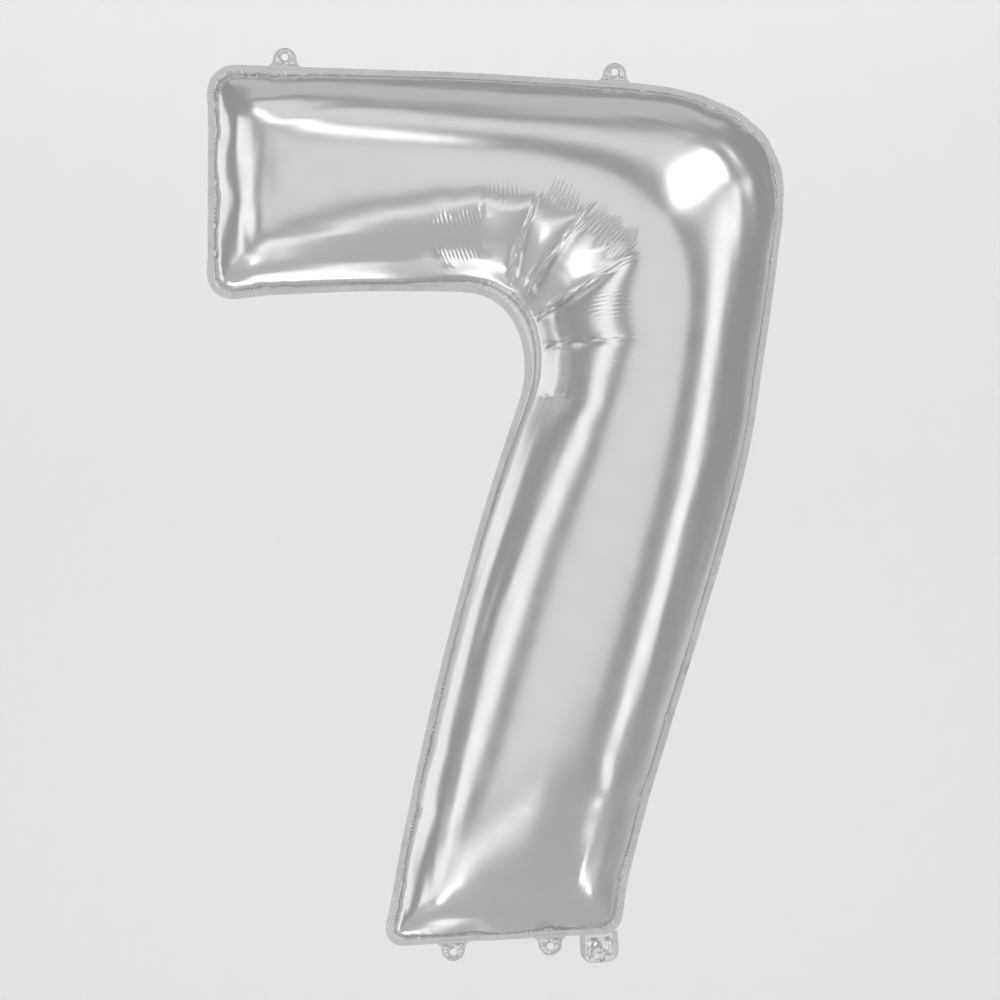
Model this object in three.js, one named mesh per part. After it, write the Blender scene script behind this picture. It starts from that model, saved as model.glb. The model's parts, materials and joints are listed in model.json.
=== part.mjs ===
import * as THREE from "three";

// A silver foil number balloon, a seven, as it hangs by its two top tabs. Millimetres: +X is to the right as seen
// from the front, which faces -Y, and +Z is up. The origin is midway between the holes of the two top tabs.
// Each foil panel is a half shell with a flat margin, and a weld band joins the two margins.

// Outline of the welded edge, as [x, z]. The arm is level, and the stem runs down and to the left.
const ARM_TIP_TOP = [-228, 1];
const ARM_TIP_BOTTOM = [-229, -223];
const ARM_UNDERSIDE_PULL = [-113, -211];
const INNER_ELBOW_START = [15, -215];
const INNER_ELBOW_PULLS = [[55, -215], [80, -260]];
const INNER_ELBOW_END = [68, -312];
const STEM_LEFT_PULL = [-14, -545];
const STEM_FOOT_LEFT = [-63, -834];
const OUTER_ELBOW_START = [15, -7];
const SHOULDER_START = [180, -17];
const SHOULDER_PULLS = [[270, -26], [327, -62]];
const SHOULDER_END = [316, -137];
const OUTER_ELBOW_PULL = [304, -241];
const OUTER_ELBOW_END = [284, -364];
const STEM_RIGHT_PULLS = [[248, -525], [169, -724]];
const STEM_FOOT_RIGHT = [161, -821];
const TIP_CORNER_RADIUS = 20; // the two corners of the arm's tip
const FOOT_CORNER_RADIUS = 15; // the left corner of the stem's foot
const NECK_CORNER_RADIUS = 5; // the corner beside the inflation neck

// Inflated section. Half depths run from the middle plane to the crown of one panel, less its margin.
const ARM_HALF_DEPTH = 86;
const ELBOW_HALF_DEPTH = 104;
const STEM_HALF_DEPTH = 98;
const CLOSING_LENGTH = 150; // along a limb, from its end to full depth
const FULLNESS = 1.3; // 1 gives an elliptical section, and more gives a sharper edge
const MARGIN = 6; // width of the flat welded margin

// Layers, as distances from the middle plane. The real foil is far thinner, as the report says.
const FOIL = 0.5;
const MARGIN_INNER_FACE = 0.7;
const MARGIN_OUTER_FACE = MARGIN_INNER_FACE + FOIL;
const MARGIN_WELD_HALF = 0.45;
const VALVE_WELD_HALF = 0.15;
const VALVE_FILM_INNER_FACE = 0.3;
const VALVE_FILM = 0.2;
const CLEARANCE = 0.3;
const SHORTEST_SIDE = 0.01; // of a weld outline; shorter ones are left out

// Hanging tabs, which fold about their roots
const TAB_WIDTH = 26;
const TAB_LENGTH = 16.5;
const TAB_END_RADIUS = 11;
const TAB_HALF_THICKNESS = 0.6;
const TAB_HOLE_RADIUS = 3.5;
const TAB_HOLE_HEIGHT = 8;
const TAB_ROOT_GAP = TAB_HALF_THICKNESS + CLEARANCE;
// Distances of the tab middles along their edges: the top edge from the arm's tip, the shoulder edge from its
// left end, and the foot from its right corner
const TAB_TOP_LEFT_AT = 72;
const TAB_TOP_RIGHT_AT = 141;
const TAB_FOOT_MIDDLE_AT = 66;
const TAB_FOOT_LEFT_AT = 158;

// Inflation neck and the flat film valve that runs through it into the stem
const NECK_WIDTH = 36;
const NECK_LENGTH = 25;
const NECK_END_RADIUS = 11;
const NECK_FROM_CORNER = 20;
const NECK_SEAM = 5;
const NECK_ROOT_GAP = MARGIN_OUTER_FACE + CLEARANCE;
const VALVE_WIDTH = 24;
const VALVE_SEAM = 3;
const VALVE_IN_NECK = 19;
const VALVE_IN_STEM = 150;
const PASSAGE_HALF = VALVE_WIDTH / 2 + 1; // half of the gap that the weld leaves for the valve
const CUT_REACH = 0.5; // mesh points of the weld this near to that gap are left out

// Mesh density: rows run across a limb, and columns along it
const CLOSING_ROWS = 7;
const ARM_ROWS = 3;
const ELBOW_ROWS = 16;
const STEM_ROWS = 9;
const SECTION_STEPS = 16;
const ROUND_STEPS = 8;

const foil = new THREE.MeshStandardMaterial({ color: 0xc9cbcd, metalness: 1, roughness: 0.16 });
const weld = new THREE.MeshStandardMaterial({ color: 0xaeb1b6, metalness: 0.9, roughness: 0.4 });
const film = new THREE.MeshStandardMaterial({ color: 0xe4e8ea, metalness: 0, roughness: 0.25 });

const point = ([x, z]) => new THREE.Vector2(x, z);
const line = (from, to) => new THREE.LineCurve(point(from), point(to));
const bend = (from, pull, to) => new THREE.QuadraticBezierCurve(point(from), point(pull), point(to));
const sweep = (from, pulls, to) =>
  new THREE.CubicBezierCurve(point(from), point(pulls[0]), point(pulls[1]), point(to));

function shoulder() {
  const path = new THREE.CurvePath();
  path.add(line(OUTER_ELBOW_START, SHOULDER_START));
  path.add(sweep(SHOULDER_START, SHOULDER_PULLS, SHOULDER_END));
  path.add(bend(SHOULDER_END, OUTER_ELBOW_PULL, OUTER_ELBOW_END));
  return path;
}

// The two long edges of the seven, in the same three stretches: arm, elbow and stem.
const arm = {
  inner: bend(ARM_TIP_BOTTOM, ARM_UNDERSIDE_PULL, INNER_ELBOW_START),
  outer: line(ARM_TIP_TOP, OUTER_ELBOW_START),
};
const elbow = {
  inner: sweep(INNER_ELBOW_START, INNER_ELBOW_PULLS, INNER_ELBOW_END),
  outer: shoulder(),
};
const stem = {
  inner: bend(INNER_ELBOW_END, STEM_LEFT_PULL, STEM_FOOT_LEFT),
  outer: sweep(OUTER_ELBOW_END, STEM_RIGHT_PULLS, STEM_FOOT_RIGHT),
};
const topEdge = [ARM_TIP_TOP, OUTER_ELBOW_START].map(point);
const shoulderEdge = [OUTER_ELBOW_START, SHOULDER_START].map(point);
const footEdge = [STEM_FOOT_RIGHT, STEM_FOOT_LEFT].map(point);

// Rows of one limb, counted from its end: the margin, its fold, the closing curve and the plain stretch.
function limbRows(limb, plainRows, halfDepth) {
  const length = (limb.inner.getLength() + limb.outer.getLength()) / 2;
  const closed = MARGIN + CLOSING_LENGTH;
  const rows = [{ limb, distance: 0, length, rise: 0, halfDepth, margin: true }];
  for (let k = 0; k <= CLOSING_ROWS; k++) {
    const angle = ((Math.PI / 2) * k) / CLOSING_ROWS;
    const distance = closed - CLOSING_LENGTH * Math.cos(angle);
    rows.push({ limb, distance, length, rise: Math.sin(angle), halfDepth, pinch: Math.cos(angle) });
  }
  for (let k = 1; k < plainRows; k++) {
    const distance = closed + ((length - closed) * k) / plainRows;
    rows.push({ limb, distance, length, rise: 1, halfDepth, pinch: 0 });
  }
  return rows;
}

function elbowRows() {
  const rows = [];
  for (let k = 0; k <= ELBOW_ROWS; k++) {
    const along = k / ELBOW_ROWS;
    const limbDepth = THREE.MathUtils.lerp(ARM_HALF_DEPTH, STEM_HALF_DEPTH, along);
    const swell = (ELBOW_HALF_DEPTH - limbDepth) * Math.sin(Math.PI * along) ** 2;
    rows.push({ limb: elbow, along, rise: 1, halfDepth: limbDepth + swell, pinch: 0 });
  }
  return rows;
}

const rows = [
  ...limbRows(arm, ARM_ROWS, ARM_HALF_DEPTH),
  ...elbowRows(),
  ...limbRows(stem, STEM_ROWS, STEM_HALF_DEPTH).reverse(),
];

// Columns across a limb, from the inner edge to the outer one: margin, fold, section curve, fold, margin.
const columns = [{ side: 0, margin: true }];
for (let k = 0; k <= SECTION_STEPS; k++) {
  columns.push({ angle: (Math.PI * k) / SECTION_STEPS });
}
columns.push({ side: 1, margin: true });

// Where a row starts and ends: its places on the inner and the outer edge.
function rowEnds(row, inset) {
  let along = row.along;
  if (along === undefined) {
    const distance = row.margin ? 0 : row.distance + inset * row.pinch;
    along = row.limb === stem ? 1 - distance / row.length : distance / row.length;
  }
  return [row.limb.inner.getPointAt(along), row.limb.outer.getPointAt(along)];
}

const corners = [
  { at: ARM_TIP_TOP, radius: TIP_CORNER_RADIUS, sides: [ARM_TIP_BOTTOM, OUTER_ELBOW_START] },
  { at: ARM_TIP_BOTTOM, radius: TIP_CORNER_RADIUS, sides: [ARM_TIP_TOP, ARM_UNDERSIDE_PULL] },
  { at: STEM_FOOT_LEFT, radius: FOOT_CORNER_RADIUS, sides: [STEM_FOOT_RIGHT, STEM_LEFT_PULL] },
  { at: STEM_FOOT_RIGHT, radius: NECK_CORNER_RADIUS, sides: [STEM_FOOT_LEFT, STEM_RIGHT_PULLS[1]] },
];

// Rounds the outline's four sharp corners: a square at each corner is mapped onto a quarter disc.
function rounded(place) {
  for (const { at, radius, sides } of corners) {
    const corner = point(at);
    const [u, v] = sides.map((side) => point(side).sub(corner).normalize());
    const away = place.clone().sub(corner);
    const cross = u.x * v.y - u.y * v.x;
    const a = 1 - (away.x * v.y - away.y * v.x) / cross / radius;
    const b = 1 - (u.x * away.y - u.y * away.x) / cross / radius;
    if (a > 0 && b > 0) {
      const roundA = a * Math.sqrt(Math.max(0, 1 - (b * b) / 2));
      const roundB = b * Math.sqrt(Math.max(0, 1 - (a * a) / 2));
      return corner.addScaledVector(u, radius * (1 - roundA)).addScaledVector(v, radius * (1 - roundB));
    }
  }
  return place;
}

// A place on the panel in the middle plane, and how high the panel stands there as a share of the half depth.
function panelPlace(row, column, inset) {
  const [from, to] = rowEnds(row, inset);
  const width = from.distanceTo(to);
  let across = column.side * width;
  if (!column.margin) {
    across = width / 2 - (width / 2 - MARGIN - inset) * Math.cos(column.angle);
  }
  const rise = column.margin || row.margin ? 0 : (Math.sin(column.angle) * row.rise) ** FULLNESS;
  return { place: rounded(from.clone().lerp(to, across / width)), rise };
}

// One surface of a panel as a list of vertices, row by row.
function panelSurface(side, face, inset) {
  const vertices = [];
  for (const row of rows) {
    for (const column of columns) {
      const { place, rise } = panelPlace(row, column, inset);
      vertices.push(place.x, side * (face + rise * row.halfDepth), place.y);
    }
  }
  return vertices;
}

// Numbers of the grid's border vertices, once round, starting along the inner edge.
function borderCells() {
  const lastRow = rows.length - 1;
  const lastColumn = columns.length - 1;
  const cells = [];
  for (let r = 0; r < lastRow; r++) cells.push([r, 0]);
  for (let c = 0; c < lastColumn; c++) cells.push([lastRow, c]);
  for (let r = lastRow; r > 0; r--) cells.push([r, lastColumn]);
  for (let c = lastColumn; c > 0; c--) cells.push([0, c]);
  return cells;
}

// A panel: its outer and inner surfaces, closed round the border. The side is -1 at the front and 1 at the back.
function panel(side) {
  const count = rows.length * columns.length;
  const vertices = [
    ...panelSurface(side, MARGIN_OUTER_FACE, 0),
    ...panelSurface(side, MARGIN_INNER_FACE, FOIL),
  ];
  const triangles = [];
  const quad = (a, b, c, d) => {
    if (side > 0) triangles.push(a, b, c, a, c, d);
    else triangles.push(a, c, b, a, d, c);
  };
  const number = ([r, c]) => r * columns.length + c;
  for (let r = 0; r < rows.length - 1; r++) {
    for (let c = 0; c < columns.length - 1; c++) {
      const loop = [[r, c], [r, c + 1], [r + 1, c + 1], [r + 1, c]].map(number);
      quad(...loop);
      quad(...loop.map((n) => n + count).reverse());
    }
  }
  const border = borderCells().map(number);
  border.forEach((n, k) => {
    const next = border[(k + 1) % border.length];
    quad(n, next, next + count, n + count);
  });
  const geometry = new THREE.BufferGeometry();
  geometry.setAttribute("position", new THREE.Float32BufferAttribute(vertices, 3));
  geometry.setIndex(triangles);
  geometry.computeVertexNormals();
  return geometry;
}

// A flat plate drawn in the XZ plane, between two distances along Y.
function plate(shape, from, to) {
  const geometry = new THREE.ExtrudeGeometry(shape, {
    depth: to - from,
    bevelEnabled: false,
    curveSegments: ROUND_STEPS,
  });
  return geometry.rotateX(Math.PI / 2).translate(0, to, 0);
}

// Weld band between the margins, once round the outline but for the passage into the neck.
function perimeterWeld() {
  const lastRow = rows.length - 1;
  const lastColumn = columns.length - 1;
  const clampedCell = ([r, c]) => [
    THREE.MathUtils.clamp(r, 1, lastRow - 1),
    THREE.MathUtils.clamp(c, 1, lastColumn - 1),
  ];
  const placeOf = ([r, c]) => panelPlace(rows[r], columns[c], 0).place;
  const corner = point(STEM_FOOT_RIGHT);
  const fromCorner = ([r, c]) => placeOf([r, c]).distanceTo(corner);
  const inPassage = (cell) =>
    cell[0] === lastRow && Math.abs(fromCorner(cell) - NECK_FROM_CORNER) < PASSAGE_HALF + CUT_REACH;
  const beyondPassage = (cell) => cell[0] === lastRow && fromCorner(cell) > NECK_FROM_CORNER;

  // Turn the loop so that it starts and ends at the passage, then cut it there squarely.
  const loop = borderCells().filter((cell) => !inPassage(cell));
  const firstAfter = loop.findIndex((cell) => cell[0] === lastRow && !beyondPassage(cell));
  const cells = [...loop.slice(firstAfter), ...loop.slice(0, firstAfter)];
  const outerLine = cells.map(placeOf);
  const innerLine = cells.map((cell) => placeOf(clampedCell(cell)));
  const [foot, inward] = footFrame();
  const cut = (distance, depth) =>
    corner.clone().addScaledVector(foot, distance).addScaledVector(inward, depth);
  outerLine.unshift(cut(NECK_FROM_CORNER - PASSAGE_HALF, 0));
  innerLine.unshift(cut(NECK_FROM_CORNER - PASSAGE_HALF, MARGIN));
  outerLine.push(cut(NECK_FROM_CORNER + PASSAGE_HALF, 0));
  innerLine.push(cut(NECK_FROM_CORNER + PASSAGE_HALF, MARGIN));
  const outline = [...outerLine, ...innerLine.reverse()].filter(
    (place, k, all) => place.distanceTo(all[(k + 1) % all.length]) > SHORTEST_SIDE,
  );
  return plate(new THREE.Shape(outline), -MARGIN_WELD_HALF, MARGIN_WELD_HALF);
}

// Unit vectors along the foot from its right corner, and into the stem at right angles to that.
function footFrame() {
  const foot = footEdge[1].clone().sub(footEdge[0]).normalize();
  return [foot, new THREE.Vector2(foot.y, -foot.x)];
}

// A lug with square root corners and two round end corners; it stands on z = 0.
function lugShape(width, length, radius) {
  const shape = new THREE.Shape();
  shape.moveTo(-width / 2, 0);
  shape.lineTo(width / 2, 0);
  shape.lineTo(width / 2, length - radius);
  shape.absarc(width / 2 - radius, length - radius, radius, 0, Math.PI / 2);
  shape.lineTo(radius - width / 2, length);
  shape.absarc(radius - width / 2, length - radius, radius, Math.PI / 2, Math.PI);
  return shape;
}

function hangingTab() {
  const shape = lugShape(TAB_WIDTH, TAB_LENGTH, TAB_END_RADIUS);
  const hole = new THREE.Path();
  hole.absarc(0, TAB_HOLE_HEIGHT, TAB_HOLE_RADIUS, 0, 2 * Math.PI, true);
  shape.holes.push(hole);
  return plate(shape, -TAB_HALF_THICKNESS, TAB_HALF_THICKNESS);
}

function neckPly(side) {
  const faces = [side * MARGIN_INNER_FACE, side * MARGIN_OUTER_FACE].sort((a, b) => a - b);
  return plate(lugShape(NECK_WIDTH, NECK_LENGTH, NECK_END_RADIUS), ...faces);
}

// One side seam of the neck: a strip along the side that ends where the end corner begins.
function neckWeld(side) {
  const edge = side * (NECK_WIDTH / 2);
  const inside = edge - side * NECK_SEAM;
  const end = NECK_LENGTH - NECK_END_RADIUS;
  const shape = new THREE.Shape([
    new THREE.Vector2(edge, 0),
    new THREE.Vector2(edge, end),
    new THREE.Vector2(inside, end + NECK_SEAM),
    new THREE.Vector2(inside, 0),
  ]);
  return plate(shape, -MARGIN_WELD_HALF, MARGIN_WELD_HALF);
}

function strip(left, right, bottom, top) {
  return new THREE.Shape([
    new THREE.Vector2(left, bottom),
    new THREE.Vector2(right, bottom),
    new THREE.Vector2(right, top),
    new THREE.Vector2(left, top),
  ]);
}

function valveFilm(side, bottom, top) {
  const outerFace = VALVE_FILM_INNER_FACE + VALVE_FILM;
  const faces = [side * VALVE_FILM_INNER_FACE, side * outerFace].sort((a, b) => a - b);
  return plate(strip(-VALVE_WIDTH / 2, VALVE_WIDTH / 2, bottom, top), ...faces);
}

function valveWeld(side, bottom, top) {
  const sides = [side * (VALVE_WIDTH / 2), side * (VALVE_WIDTH / 2 - VALVE_SEAM)].sort((a, b) => a - b);
  return plate(strip(...sides, bottom, top), -VALVE_WELD_HALF, VALVE_WELD_HALF);
}

// A frame on a straight edge: X along the edge from its start, Z out of the balloon, at the hinge line of a lug.
function edgeFrame([start, end], distance, rootGap) {
  const along = end.clone().sub(start).normalize();
  const root = start.clone().addScaledVector(along, distance);
  const frame = new THREE.Group();
  frame.position.set(root.x - along.y * rootGap, 0, root.y + along.x * rootGap);
  frame.rotation.y = Math.atan2(-along.y, along.x);
  return frame;
}

function piece(name, geometry, material) {
  const mesh = new THREE.Mesh(geometry, material);
  mesh.name = name;
  return mesh;
}

function tabOnEdge(name, edge, distance) {
  return edgeFrame(edge, distance, TAB_ROOT_GAP).add(piece(name, hangingTab(), foil));
}

const balloon = new THREE.Group();
balloon.add(piece("front_panel", panel(-1), foil));
balloon.add(piece("back_panel", panel(1), foil));
balloon.add(piece("perimeter_weld", perimeterWeld(), weld));

balloon.add(tabOnEdge("tab_top_left", topEdge, TAB_TOP_LEFT_AT));
balloon.add(tabOnEdge("tab_top_right", shoulderEdge, TAB_TOP_RIGHT_AT));
balloon.add(tabOnEdge("tab_foot_left", footEdge, TAB_FOOT_LEFT_AT));
balloon.add(tabOnEdge("tab_foot_middle", footEdge, TAB_FOOT_MIDDLE_AT));

const neck = edgeFrame(footEdge, NECK_FROM_CORNER, NECK_ROOT_GAP);
neck.add(piece("neck_front_ply", neckPly(-1), foil));
neck.add(piece("neck_back_ply", neckPly(1), foil));
neck.add(piece("neck_weld_left", neckWeld(1), weld));
neck.add(piece("neck_weld_right", neckWeld(-1), weld));
neck.add(piece("inlet_front_film", valveFilm(-1, 0, VALVE_IN_NECK), film));
neck.add(piece("inlet_back_film", valveFilm(1, 0, VALVE_IN_NECK), film));
neck.add(piece("inlet_weld_left", valveWeld(1, 0, VALVE_IN_NECK), weld));
neck.add(piece("inlet_weld_right", valveWeld(-1, 0, VALVE_IN_NECK), weld));
balloon.add(neck);

// The valve's inner length lies flat in the stem, in line with the neck.
const valve = edgeFrame(footEdge, NECK_FROM_CORNER, 0);
valve.add(piece("valve_front_film", valveFilm(-1, -VALVE_IN_STEM, 0), film));
valve.add(piece("valve_back_film", valveFilm(1, -VALVE_IN_STEM, 0), film));
valve.add(piece("valve_weld_left", valveWeld(1, -VALVE_IN_STEM, 0), weld));
valve.add(piece("valve_weld_right", valveWeld(-1, -VALVE_IN_STEM, 0), weld));
balloon.add(valve);

export default balloon;
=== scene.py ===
import json
import math

import bpy
import numpy as np
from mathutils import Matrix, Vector
from mathutils.geometry import delaunay_2d_cdt


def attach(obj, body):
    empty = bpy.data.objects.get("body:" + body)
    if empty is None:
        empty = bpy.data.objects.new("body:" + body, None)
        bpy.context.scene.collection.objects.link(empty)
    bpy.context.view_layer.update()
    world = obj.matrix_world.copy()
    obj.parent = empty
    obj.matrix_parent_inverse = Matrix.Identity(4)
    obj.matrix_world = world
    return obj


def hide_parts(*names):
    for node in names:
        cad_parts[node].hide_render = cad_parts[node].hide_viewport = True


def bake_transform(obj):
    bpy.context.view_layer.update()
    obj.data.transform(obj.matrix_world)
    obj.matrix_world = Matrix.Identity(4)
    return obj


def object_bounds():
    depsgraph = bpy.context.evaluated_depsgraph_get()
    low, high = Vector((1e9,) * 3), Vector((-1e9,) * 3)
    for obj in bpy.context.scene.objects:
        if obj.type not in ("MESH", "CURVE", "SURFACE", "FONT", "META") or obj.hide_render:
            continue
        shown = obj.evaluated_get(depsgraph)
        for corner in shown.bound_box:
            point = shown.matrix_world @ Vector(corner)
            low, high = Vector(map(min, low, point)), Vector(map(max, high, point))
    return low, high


# A silver foil number balloon. Two flat foil sheets are cut from one pattern, welded round the edge and inflated
# here by a small membrane solver, which gives the broad shape. The creases of the elbow and the fine gathers at the
# seam are too small for the solver's mesh, so they are cut into the inflated sheets afterwards.

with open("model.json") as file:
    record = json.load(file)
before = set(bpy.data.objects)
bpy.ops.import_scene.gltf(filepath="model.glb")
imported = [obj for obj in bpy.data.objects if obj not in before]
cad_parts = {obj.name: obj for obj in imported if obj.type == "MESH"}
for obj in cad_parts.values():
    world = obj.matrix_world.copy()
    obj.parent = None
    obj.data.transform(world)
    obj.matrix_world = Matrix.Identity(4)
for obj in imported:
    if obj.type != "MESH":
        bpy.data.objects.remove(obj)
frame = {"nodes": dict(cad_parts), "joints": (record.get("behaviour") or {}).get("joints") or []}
cad_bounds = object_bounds()

MM = 0.001
MARGIN = 6.0  # width of the welded margin, in millimetres like every length of the pattern

# The flat pattern, as seen from the front: [x, z] in millimetres, clockwise from the upper corner of the arm's tip.
ARM_TOP = (-227, 79)
CROWN = (189, 24)
SHOULDER = (338, -340)
FOOT_RIGHT = (203, -855)
FOOT_LEFT = (-53, -875)
STEM_TOP = (13, -309)
UNDER_ARM = (-99, -216)
ARM_BOTTOM = (-275, -164)
PATTERN_SIDES = [
    [
        (ARM_TOP, (-106, 93), (67, 52), CROWN),
        (CROWN, (422, -37), (339, -205), SHOULDER),
        (SHOULDER, (314, -517), (270, -690), FOOT_RIGHT),
    ],
    [(FOOT_RIGHT, (135, -887), (20, -898), FOOT_LEFT)],
    [
        (FOOT_LEFT, (-88, -689), (-36, -494), STEM_TOP),
        (STEM_TOP, (21, -228), (-46, -230), UNDER_ARM),
        (UNDER_ARM, (-151, -200), (-234, -191), ARM_BOTTOM),
    ],
    [(ARM_BOTTOM, (-286, -102), (-263, 30), ARM_TOP)],
]
CORNER_CUTS = (24.0, 26.0, 40.0, 40.0)  # how far from each corner the pattern starts to round, from the foot's right
SKIRT = 7.5  # how far in from the seam the two sheets lie almost flat, held down by their own gathers
ELBOW_CENTRE = np.array((-40.0, -300.0))  # what the bend of the elbow turns about, in the pattern
ELBOW = np.array((70, -215))  # the middle of the creased part of the elbow
CREASE_EDGE = 0.8  # how round the bottom of a crease is
PITCH = 4.0  # from one gather at the seam to the next
# The deep creases of the elbow: the two ends of each in the pattern, and its depth. They fan out from the bend.
CREASES = [
    ((19, -213), (74, -122), 5.5),
    ((34, -224), (130, -134), 5.5),
    ((42, -252), (163, -196), 6.5),
    ((52, -281), (169, -276), 3.4),
    ((2, -178), (20, -118), 1.5),
    ((-34, -190), (-34, -146), 0.9),
    ((40, -326), (118, -338), 0.8),
]
# Fine pleats between them: centre in the pattern, direction of the lines, half length, half width, height.
PLEATS = [
    ((96, -126), 58, 16, 20, 0.45),
    ((133, -168), 40, 21, 32, 0.4),
    ((134, -243), 8, 22, 15, 0.30),
    ((40, -112), 84, 12, 18, 0.3),
    ((-12, -136), 88, 12, 30, 0.3),
    ((-20, -172), 88, 11, 22, 0.22),
    ((150, -300), 2, 20, 10, 0.2),
]
# Where the seam has gathered most: the middle of the place in the pattern, its half length and its height.
GATHERS = [
    ((-172, 56), 34, 0.95),
    ((-240, -40), 52, 0.4),
    ((-216, 62), 22, 0.4),
    ((-45, -656), 60, 0.45),
    ((-52, -760), 40, 0.3),
    ((186, -745), 50, 0.16),
    ((275, -20), 45, 0.4),
    ((95, -852), 40, 0.35),
    ((-30, -850), 45, 0.3),
    ((-235, -140), 30, 0.35),
]

COARSE = 18.0  # mesh spacing of the first solve; each later one halves it
FINER = (26, 14)  # how far from the seam the mesh is halved once more, and then again
SOLVES = [  # steps, resistance to compression, resistance to folding
    (1200, 0.15, 0.03),
    (800, 0.6, 0.15),
    (600, 0.7, 0.2),
]


# ---- pattern and mesh


def cubic(a, b, c, d, steps):
    """A cubic curve from a to d, drawn towards b and c."""
    t = np.linspace(0, 1, steps + 1)[:, None]
    a, b, c, d = (np.array(p, float) for p in (a, b, c, d))
    return (1 - t) ** 3 * a + 3 * (1 - t) ** 2 * t * b + 3 * (1 - t) * t * t * c + t**3 * d


def away_from(place, points):
    """How far each point is from a place."""
    return np.linalg.norm(points - place, axis=1)


def lengths_along(line):
    """How far along an open line each of its points is."""
    return np.r_[0, np.cumsum(np.linalg.norm(np.diff(line, axis=0), axis=1))]


def points_at(line, distances):
    along = lengths_along(line)
    return np.stack([np.interp(distances, along, line[:, k]) for k in range(line.shape[1])], 1)


def pattern_outline(spacing):
    """The pattern's edge as a closed line of points, with its four corners rounded."""
    sides = []
    for side in PATTERN_SIDES:
        curves = [cubic(*curve, 60) for curve in side]
        sides.append(np.vstack([curve[:-1] for curve in curves[:-1]] + [curves[-1]]))
    trimmed = []
    for k, line in enumerate(sides):
        first, last = CORNER_CUTS[k - 1], lengths_along(line)[-1] - CORNER_CUTS[k]
        trimmed.append(points_at(line, np.linspace(first, last, max(2, round((last - first) / spacing)) + 1)))
    outline = []
    for k, line in enumerate(trimmed):
        corner, after = sides[k][-1], trimmed[(k + 1) % len(trimmed)][0]
        steps = max(4, round(1.7 * CORNER_CUTS[k] / spacing))
        fillet = cubic(line[-1], (line[-1] + 2 * corner) / 3, (after + 2 * corner) / 3, after, steps)
        outline += [line, fillet[1:-1]]
    return np.vstack(outline)


def ring_normals(ring):
    """Outward unit normals of a closed clockwise line."""
    along = np.roll(ring, -1, 0) - np.roll(ring, 1, 0)
    along /= np.linalg.norm(along, axis=1)[:, None]
    return np.stack([-along[:, 1], along[:, 0]], 1)


def nearest_on_ring(points, ring):
    """For each point, its distance to a closed line and where along the line that is."""
    start, end = ring, np.roll(ring, -1, 0)
    at = np.r_[0, np.cumsum(np.linalg.norm(end - start, axis=1))]
    best = np.full(len(points), np.inf)
    where = np.zeros(len(points))
    for k, step in enumerate(end - start):
        share = np.clip((points - start[k]) @ step / (step @ step), 0, 1)
        gap = np.linalg.norm(points - start[k] - share[:, None] * step, axis=1)
        closer = gap < best
        best[closer] = gap[closer]
        where[closer] = at[k] + share[closer] * (at[k + 1] - at[k])
    return best, where


def inside(points, ring):
    """Which points lie within a closed line."""
    odd = np.zeros(len(points), bool)
    for a, b in zip(ring, np.roll(ring, -1, 0)):
        crosses = (a[1] > points[:, 1]) != (b[1] > points[:, 1])
        with np.errstate(divide="ignore", invalid="ignore"):
            reach = (b[0] - a[0]) * (points[:, 1] - a[1]) / (b[1] - a[1]) + a[0]
        odd ^= crosses & (points[:, 0] < reach)
    return odd


def facing_front(points, triangles):
    """The triangles, each turned to run counterclockwise."""
    a, b, c = (points[triangles[:, k]] for k in range(3))
    turn = (b - a)[:, 0] * (c - a)[:, 1] - (b - a)[:, 1] * (c - a)[:, 0]
    triangles[turn < 0] = triangles[turn < 0][:, ::-1]
    return triangles


def flat_sheet(seam, spacing, rng):
    """An even triangle mesh inside the seam, as points and triangles; the seam's points come first."""
    low, high = seam.min(0), seam.max(0)
    rows = np.arange(low[1], high[1], spacing * math.sqrt(3) / 2)
    columns = np.arange(low[0], high[0], spacing)
    grid = np.array([(x + (k % 2) * spacing / 2, z) for k, z in enumerate(rows) for x in columns])
    grid += rng.uniform(-0.12, 0.12, grid.shape) * spacing
    grid = grid[inside(grid, seam)]
    grid = grid[nearest_on_ring(grid, seam)[0] > 0.6 * spacing]
    points = np.vstack([seam, grid])
    loop = list(range(len(seam)))
    made = delaunay_2d_cdt(
        [Vector(p) for p in points.tolist()], [(k, (k + 1) % len(seam)) for k in loop], [loop], 1, 1e-6
    )
    first = np.array([sources[0] for sources in made[3]])
    return points, facing_front(points, first[np.array(made[2])])


FRONT, BACK, WELD = 0, 1, 2


def welded_pillow(outline, spacing, rng):
    """Two sheets that share their seam, and the margin outside it. Gives flat points, triangles, sheet numbers."""
    seam = outline - MARGIN * ring_normals(outline)
    points, front = flat_sheet(seam, spacing, rng)
    n, total = len(seam), len(points)
    other = np.r_[np.arange(n), np.arange(total, 2 * total - n)]
    edge = 2 * total - n + np.arange(n)
    flat = np.vstack([points, points[n:], outline])
    here, there = np.arange(n), np.roll(np.arange(n), -1)
    margin = np.vstack([
        np.stack([here, edge[there], edge], 1),
        np.stack([here, there, edge[there]], 1),
    ])
    triangles = np.vstack([front, other[front][:, ::-1], margin])
    sheet = np.repeat([FRONT, BACK, WELD], [len(front), len(front), len(margin)])
    return flat, triangles, sheet, seam


def corner_edges(triangles):
    """The three edges of every triangle, all the first ones before all the second ones."""
    return np.sort(np.vstack([triangles[:, [0, 1]], triangles[:, [1, 2]], triangles[:, [2, 0]]]), axis=1)


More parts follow.
